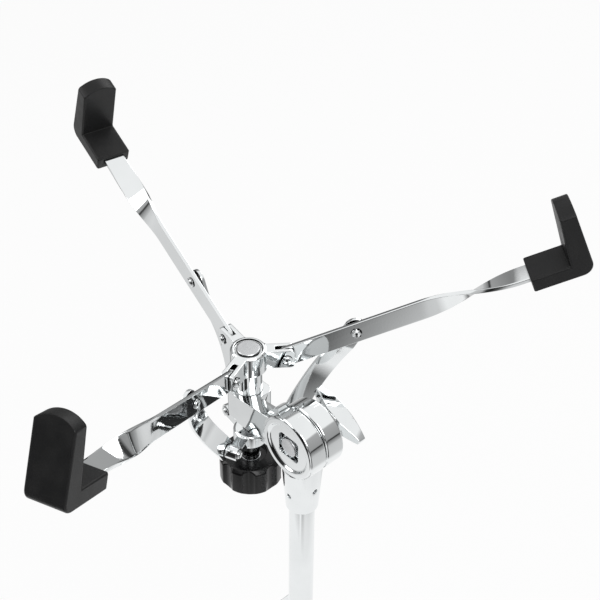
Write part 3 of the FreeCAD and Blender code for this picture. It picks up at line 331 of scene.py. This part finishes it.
shallowReach = 0.001   # short reach of the painted crevice shade, for the tilter, whose wide pocket stays bright
chromePlate = plateFinish("chromePlate", chromeLook)
chromeTilter = plateFinish("chromeTilter", {**chromeLook, "paintedShadeReach": shallowReach})
satinCap = plateFinish("satinCap", capLook)
satinBolt = plateFinish("satinBolt", {**capLook, "paintedShadeReach": shallowReach})
zincPlate = plateFinish("zincPlate", zincLook)
gripRubber = mouldedFinish("gripRubber", gripLook)
footRubber = mouldedFinish("footRubber", footLook)
knobPlastic = mouldedFinish("knobPlastic", knobLook)
bushNylon = mouldedFinish("bushNylon", bushLook)
washerNylon = mouldedFinish("washerNylon", washerLook)

# the darker root colour is painted shade in the thread grooves
rodThread = {"turnsPerMetre": 500.0, "shift": (-postMiddle.x, -postMiddle.y, 0.0),
             "turn": (0.0, 0.0, 0.0), "root": (0.30, 0.31, 0.32), "crest": (0.66, 0.67, 0.68),
             "smooth": 0.20, "hazy": 0.42, "depth": 0.0006}
rodSteel = threadedFinish("rodSteel", rodThread)
print("finishes ready")

# dressing: a merged copy with softened edges and a finish stands in for each CAD node

dressing = {
    "arms": {"nodes": ["arm_1", "arm_2", "arm_3"], "finish": chromePlate,
             "slot": "chrome", "rounding": 0.0005},
    "links": {"nodes": ["link_1", "link_2", "link_3"], "finish": chromePlate,
              "slot": "chrome", "rounding": 0.0004},
    "castings": {"nodes": ["basket_hub", "slider", "height_clamp", "tripod_collar",
                           "lower_collar"],
                 "finish": chromePlate, "slot": "chrome", "rounding": 0.0005},
    "tilter": {"nodes": ["tilter_knuckle", "tilter_socket"], "finish": chromeTilter,
               "slot": "chrome", "rounding": 0.0005},
    "tubes": {"nodes": ["post_tube", "mast_tube", "base_tube"], "finish": chromePlate,
              "slot": "chrome", "rounding": 0.0004},
    "tripod": {"nodes": ["leg_1", "leg_2", "leg_3", "brace_1", "brace_2", "brace_3"],
               "finish": chromePlate, "slot": "chrome", "rounding": 0.0004},
    "wings": {"nodes": ["tilter_wing", "height_wing", "tripod_wing"], "finish": chromePlate,
              "slot": "chrome", "rounding": 0.0006},
    "rivets": {"nodes": ["link_pin_1", "link_pin_2", "link_pin_3", "hub_pins", "slider_pins",
                         "leg_pins", "lower_pins", "brace_pin_1", "brace_pin_2",
                         "brace_pin_3"],
               "finish": chromePlate, "slot": "chrome", "rounding": 0.0002},
    "bolts": {"nodes": ["tilter_bolt"], "finish": satinBolt, "slot": "plain_steel",
              "rounding": 0.0014},
    "inserts": {"nodes": ["socket_pins", "height_nut", "knob_insert"], "finish": zincPlate,
                "slot": "plain_steel", "rounding": 0.0002},
    "rod": {"nodes": ["post_rod"], "finish": rodSteel, "slot": "plain_steel",
            "rounding": 0.0002},
    "cap": {"nodes": ["post_cap"], "finish": satinCap, "slot": "cap_steel",
            "rounding": 0.0003},
    "grips": {"nodes": ["grip_1", "grip_2", "grip_3"], "finish": gripRubber,
              "slot": "grip_rubber", "rounding": 0.0008},
    "feet": {"nodes": ["foot_1", "foot_2", "foot_3"], "finish": footRubber,
             "slot": "foot_rubber", "rounding": 0.0008},
    "knob": {"nodes": ["knob"], "finish": knobPlastic, "slot": "knob_plastic",
             "rounding": 0.0006},
    "washers": {"nodes": ["spacer_1", "spacer_2", "spacer_3"], "finish": washerNylon,
                "slot": "washer_plastic", "rounding": 0.0002},
    "bushes": {"nodes": ["clamp_bush", "base_plug"], "finish": bushNylon,
               "slot": "bush_plastic", "rounding": 0.0003},
}


edgeWork = {"merge": 0.000002, "flat": 0.3, "segments": 2, "bevelOver": 38, "smoothUnder": 40,
            "sliver": 0.000001}   # metres and degrees


def copyNode(nodeName):
    node = frame["nodes"][nodeName]
    words = nodeName.split("_")
    piece = bpy.data.objects.new("dressed" + "".join(w.capitalize() for w in words),
                                 node.data.copy())
    bpy.context.scene.collection.objects.link(piece)
    pickOnly(piece)
    bpy.ops.object.mode_set(mode="EDIT")
    bpy.ops.mesh.customdata_custom_splitnormals_clear()
    bpy.ops.mesh.select_all(action="SELECT")
    bpy.ops.mesh.remove_doubles(threshold=edgeWork["merge"])
    bpy.ops.mesh.dissolve_limited(angle_limit=math.radians(edgeWork["flat"]))
    bpy.ops.object.mode_set(mode="OBJECT")
    return piece


def softenEdges(piece, rounding):
    pickOnly(piece)
    bevel = piece.modifiers.new("edges", "BEVEL")
    bevel.width = rounding
    bevel.segments = edgeWork["segments"]
    bevel.limit_method = "ANGLE"
    bevel.angle_limit = math.radians(edgeWork["bevelOver"])
    bevel.use_clamp_overlap = False
    bpy.ops.object.modifier_apply(modifier=bevel.name)
    bpy.ops.object.mode_set(mode="EDIT")
    bpy.ops.mesh.select_all(action="SELECT")
    bpy.ops.mesh.dissolve_degenerate(threshold=edgeWork["sliver"])
    bpy.ops.object.mode_set(mode="OBJECT")
    bpy.ops.object.shade_smooth_by_angle(angle=math.radians(edgeWork["smoothUnder"]))
    weighted = piece.modifiers.new("weighted", "WEIGHTED_NORMAL")
    weighted.keep_sharp = True
    bpy.ops.object.modifier_apply(modifier=weighted.name)


def pickFaces(piece, wanted):
    pickOnly(piece)
    bpy.ops.object.mode_set(mode="EDIT")
    bpy.ops.mesh.select_mode(type="FACE")
    bpy.ops.mesh.select_all(action="DESELECT")
    bpy.ops.object.mode_set(mode="OBJECT")
    for face in piece.data.polygons:
        face.select = wanted(face)
    bpy.ops.object.mode_set(mode="EDIT")


rivetDimple = {"edge": 0.0019, "depth": 0.0009, "corners": 12}


def dimpleRivets(piece):
    pickFaces(piece, lambda face: len(face.vertices) >= rivetDimple["corners"])
    bpy.ops.mesh.inset(thickness=rivetDimple["edge"], depth=-rivetDimple["depth"],
                       use_individual=True)
    bpy.ops.object.mode_set(mode="OBJECT")


# the arm's quarter twist, eased in and out; places are in metres from the arm's tip
armTwist = {"arms": 3, "turn": 51.5, "slope": 21.5, "start": -0.108, "end": -0.036, "steps": 28,
            "quarter": 90.0, "sameSpot": 0.00005, "flat": 1.0}


def easeTwist(piece, index):
    turn = math.radians(armTwist["turn"] + index * 360 / armTwist["arms"])
    slope = math.radians(armTwist["slope"])
    along = Vector((math.cos(turn) * math.cos(slope), math.sin(turn) * math.cos(slope),
                    math.sin(slope)))
    tip = max(piece.data.polygons, key=lambda face: face.center.dot(along)).center.copy()
    first, last = armTwist["start"], armTwist["end"]
    pickOnly(piece)
    bpy.ops.object.mode_set(mode="EDIT")
    bpy.ops.mesh.select_all(action="SELECT")
    bpy.ops.mesh.bisect(plane_co=tip + along * first, plane_no=along)
    pickFaces(piece, lambda face: first < (face.center - tip).dot(along))
    bpy.ops.mesh.delete(type="FACE")
    bpy.ops.mesh.select_mode(type="VERT")
    bpy.ops.mesh.select_all(action="SELECT")
    bpy.ops.mesh.dissolve_limited(angle_limit=math.radians(armTwist["flat"]),
                                  use_dissolve_boundaries=True)
    bpy.ops.mesh.select_all(action="DESELECT")
    bpy.ops.object.mode_set(mode="OBJECT")
    for vertex in piece.data.vertices:
        reach = (vertex.co - tip).dot(along)
        vertex.select = abs(reach - first) < armTwist["sameSpot"]
    bpy.ops.object.mode_set(mode="EDIT")
    bpy.ops.mesh.select_mode(type="EDGE")
    steps = armTwist["steps"]
    side = along.cross(Vector((0, 0, 1))).normalized()
    axes = (along, side, along.cross(side))
    done = 0.0
    for step in range(1, steps + 1):
        share = step / steps
        eased = share * share * (3 - 2 * share)
        centre = tip + along * (first + (last - first) * share)
        bpy.ops.mesh.extrude_edges_move(
            TRANSFORM_OT_translate={"value": along * ((last - first) / steps)})
        bpy.ops.transform.rotate(
            value=math.radians(armTwist["quarter"]) * (eased - done), orient_axis="X",
            orient_type="GLOBAL", orient_matrix=axes, orient_matrix_type="GLOBAL",
            constraint_axis=(True, False, False), center_override=centre)
        done = eased
    bpy.ops.mesh.extrude_edges_move(TRANSFORM_OT_translate={"value": along * -last})
    bpy.ops.mesh.edge_face_add()
    bpy.ops.mesh.select_all(action="SELECT")
    bpy.ops.mesh.normals_make_consistent(inside=False)
    bpy.ops.object.mode_set(mode="OBJECT")


for family, plan in dressing.items():
    for nodeName in plan["nodes"]:
        piece = copyNode(nodeName)
        if family == "rivets":
            dimpleRivets(piece)
        if family == "arms":
            easeTwist(piece, plan["nodes"].index(nodeName))
        softenEdges(piece, plan["rounding"])
        piece.data.materials.clear()
        piece.data.materials.append(plan["finish"])
        node = frame["nodes"][nodeName]
        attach(piece, node["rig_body"])
        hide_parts(nodeName)
        for slot in node.material_slots:
            slot.material = plan["finish"]
    print("dressed", family)

# studio: pale floor, white surround, soft lamps and grey cards round the stand for the chrome

studio = {"floorSize": 12.0, "floorTone": 0.82, "floorRoughness": 0.9, "floorGlow": 0.90,
          "surround": 1.0, "fill": 0.55}
lampPlan = [
    {"name": "keyBox", "at": (1.6, -0.4, 2.2), "size": 1.6, "power": 26.0},
    {"name": "sideBox", "at": (-1.5, -1.6, 1.7), "size": 1.4, "power": 14.0},
    {"name": "backBox", "at": (-0.6, 1.9, 1.9), "size": 1.4, "power": 12.0},
]
# grey cards that only reflections see, as (turn about the stand in degrees, tone)
cardTurns = [
    (-180, 0.55), (-166, 0.74), (-152, 0.80), (-142, 0.74), (-126, 0.78), (-114, 0.70),
    (-106, 0.05), (-58, 0.02), (-54, 0.95), (-44, 0.95), (-40, 0.06), (-29, 0.12), (-22, 0.40),
    (-16, 0.66), (-8, 0.70), (20, 0.62), (55, 0.74), (66, 0.80), (71, 0.60), (76, 0.68),
    (81, 0.62), (87, 0.56), (92, 0.08), (100, 0.08), (106, 0.60), (140, 0.70), (160, 0.18),
    (180, 0.55),
]
floorCard = {"radius": 2.6, "height": 0.002, "corners": 96,
             "tones": [(0.0, 1.0), (0.5, 1.0), (1.0, 0.9)],
             "cover": [(0.0, 0.0), (0.16, 0.0), (0.22, 1.0), (1.0, 1.0)]}
wallCard = {"radius": 2.6, "top": 2.8, "corners": 96,
            "tones": [(0.0, 0.8), (0.17, 0.35), (0.20, 0.08), (0.235, 0.08), (0.28, 0.55),
                      (0.8, 0.66), (1.0, 0.9)],
            "cover": [(0.0, 1.0), (0.86, 1.0), (0.96, 0.0), (1.0, 0.0)]}


def seenRays(nodes, link):
    path = nodes.new("ShaderNodeLightPath")
    seen = nodes.new("ShaderNodeMath")
    seen.operation = "MAXIMUM"
    seenThrough = nodes.new("ShaderNodeMath")
    seenThrough.operation = "MAXIMUM"
    link(path.outputs["Is Camera Ray"], seen.inputs[0])
    link(path.outputs["Is Glossy Ray"], seen.inputs[1])
    link(seen.outputs["Value"], seenThrough.inputs[0])
    link(path.outputs["Is Transmission Ray"], seenThrough.inputs[1])
    return seenThrough.outputs["Value"]


def makeFloor():
    deselectAll()
    bpy.ops.mesh.primitive_plane_add(size=studio["floorSize"], location=(0, 0, 0))
    floor = bpy.context.object
    floor.name = "paleFloor"
    material, nodes, link, shader = newMaterial("paleFloor")
    shader.inputs["Base Color"].default_value = (studio["floorTone"],) * 3 + (1.0,)
    shader.inputs["Roughness"].default_value = studio["floorRoughness"]
    shader.inputs["Specular IOR Level"].default_value = 0.0
    glow = nodes.new("ShaderNodeEmission")
    glow.inputs["Strength"].default_value = 1.0
    share = nodes.new("ShaderNodeMath")
    share.operation = "MULTIPLY"
    share.inputs[1].default_value = studio["floorGlow"]
    blend = nodes.new("ShaderNodeMixShader")
    link(seenRays(nodes, link), share.inputs[0])
    link(share.outputs["Value"], blend.inputs[0])
    link(shader.outputs["BSDF"], blend.inputs[1])
    link(glow.outputs["Emission"], blend.inputs[2])
    link(blend.outputs["Shader"], nodes["Material Output"].inputs["Surface"])
    floor.data.materials.append(material)


def makeSurround():
    world = bpy.data.worlds.new("whiteSurround")
    bpy.context.scene.world = world
    world.use_nodes = True
    nodes = world.node_tree.nodes
    link = world.node_tree.links.new
    fill = nodes["Background"]
    fill.inputs["Color"].default_value = (1.0, 1.0, 1.0, 1.0)
    fill.inputs["Strength"].default_value = studio["fill"]
    white = nodes.new("ShaderNodeBackground")
    white.inputs["Color"].default_value = (1.0, 1.0, 1.0, 1.0)
    white.inputs["Strength"].default_value = studio["surround"]
    blend = nodes.new("ShaderNodeMixShader")
    link(seenRays(nodes, link), blend.inputs[0])
    link(fill.outputs["Background"], blend.inputs[1])
    link(white.outputs["Background"], blend.inputs[2])
    link(blend.outputs["Shader"], nodes["World Output"].inputs["Surface"])


def makeLamps():
    for plan in lampPlan:
        lamp = bpy.data.lights.new(plan["name"], "AREA")
        lamp.shape = "SQUARE"
        lamp.size = plan["size"]
        lamp.energy = plan["power"]
        holder = bpy.data.objects.new(plan["name"], lamp)
        bpy.context.scene.collection.objects.link(holder)
        holder.location = plan["at"]
        aim = hubCentre - Vector(plan["at"])
        holder.rotation_euler = aim.to_track_quat("-Z", "Y").to_euler()


def toneRamp(nodes, stops):
    ramp = nodes.new("ShaderNodeValToRGB")
    spots = ramp.color_ramp.elements
    spots[0].position, spots[0].color = stops[0][0], (stops[0][1],) * 3 + (1.0,)
    spots[1].position, spots[1].color = stops[-1][0], (stops[-1][1],) * 3 + (1.0,)
    for place, tone in stops[1:-1]:
        spots.new(place).color = (tone,) * 3 + (1.0,)
    return ramp


def cardFinish(name, card, reach, flat):
    material, nodes, link, shader = newMaterial(name)
    nodes.remove(shader)
    place = nodes.new("ShaderNodeTexCoord")
    parts = nodes.new("ShaderNodeSeparateXYZ")
    link(place.outputs["Object"], parts.inputs["Vector"])
    angle = nodes.new("ShaderNodeMath")
    angle.operation = "ARCTAN2"
    link(parts.outputs["Y"], angle.inputs[0])
    link(parts.outputs["X"], angle.inputs[1])
    turn = nodes.new("ShaderNodeMapRange")
    turn.inputs["From Min"].default_value = -math.pi
    turn.inputs["From Max"].default_value = math.pi
    link(angle.outputs["Value"], turn.inputs["Value"])
    around = toneRamp(nodes, [((a + 180) / 360, tone) for a, tone in cardTurns])
    link(turn.outputs["Result"], around.inputs["Fac"])
    along = nodes.new("ShaderNodeMapRange")
    along.inputs["From Max"].default_value = reach
    if flat:
        length = nodes.new("ShaderNodeVectorMath")
        length.operation = "LENGTH"
        link(place.outputs["Object"], length.inputs[0])
        link(length.outputs["Value"], along.inputs["Value"])
    else:
        link(parts.outputs["Z"], along.inputs["Value"])
    tones = toneRamp(nodes, card["tones"])
    cover = toneRamp(nodes, card["cover"])
    link(along.outputs["Result"], tones.inputs["Fac"])
    link(along.outputs["Result"], cover.inputs["Fac"])
    both = nodes.new("ShaderNodeMix")
    both.data_type = "RGBA"
    both.blend_type = "MULTIPLY"
    both.inputs[mixColour["share"]].default_value = 1.0
    link(around.outputs["Color"], both.inputs[mixColour["first"]])
    link(tones.outputs["Color"], both.inputs[mixColour["second"]])
    glow = nodes.new("ShaderNodeEmission")
    link(both.outputs[mixColour["result"]], glow.inputs["Color"])
    clear = nodes.new("ShaderNodeBsdfTransparent")
    blend = nodes.new("ShaderNodeMixShader")
    link(cover.outputs["Color"], blend.inputs[0])
    link(clear.outputs["BSDF"], blend.inputs[1])
    link(glow.outputs["Emission"], blend.inputs[2])
    link(blend.outputs["Shader"], nodes["Material Output"].inputs["Surface"])
    return material


def hideFromLight(card):
    card.visible_camera = False
    card.visible_diffuse = False
    card.visible_shadow = False
    card.visible_transmission = False


def makeCards():
    deselectAll()
    bpy.ops.mesh.primitive_circle_add(
        vertices=floorCard["corners"], radius=floorCard["radius"], fill_type="NGON",
        location=(hubCentre.x, hubCentre.y, floorCard["height"]))
    flat = bpy.context.object
    flat.name = "floorCard"
    flat.data.materials.append(cardFinish("floorCard", floorCard, floorCard["radius"], True))
    hideFromLight(flat)
    deselectAll()
    bpy.ops.mesh.primitive_cylinder_add(
        vertices=wallCard["corners"], radius=wallCard["radius"], depth=wallCard["top"],
        end_fill_type="NOTHING", location=(hubCentre.x, hubCentre.y, wallCard["top"] / 2))
    wall = bpy.context.object
    wall.name = "wallCard"
    bpy.ops.object.mode_set(mode="EDIT")
    bpy.ops.mesh.select_all(action="SELECT")
    bpy.ops.transform.translate(value=(0, 0, wallCard["top"] / 2))
    bpy.ops.object.mode_set(mode="OBJECT")
    wall.location.z = 0
    wall.data.materials.append(cardFinish("wallCard", wallCard, wallCard["top"], False))
    hideFromLight(wall)


makeFloor()
makeSurround()
makeLamps()
makeCards()
print("studio ready")

# camera at the photograph's angle, placed from the hub's top

photoView = {"lens": 74.0, "sensor": 36.0, "clipEnd": 100.0, "from": (0.50244, -0.42250, 0.55771),
             "turn": (51.8508, -0.4665, 47.1888)}
camera = bpy.data.cameras.new("photoCamera")
camera.lens = photoView["lens"]
camera.sensor_width = photoView["sensor"]
camera.clip_end = photoView["clipEnd"]
cameraHolder = bpy.data.objects.new("photoCamera", camera)
bpy.context.scene.collection.objects.link(cameraHolder)
cameraHolder.location = hubCentre + Vector(photoView["from"])
cameraHolder.rotation_euler = [math.radians(a) for a in photoView["turn"]]
bpy.context.scene.camera = cameraHolder
bpy.context.scene.view_settings.view_transform = "Standard"
print("camera ready")
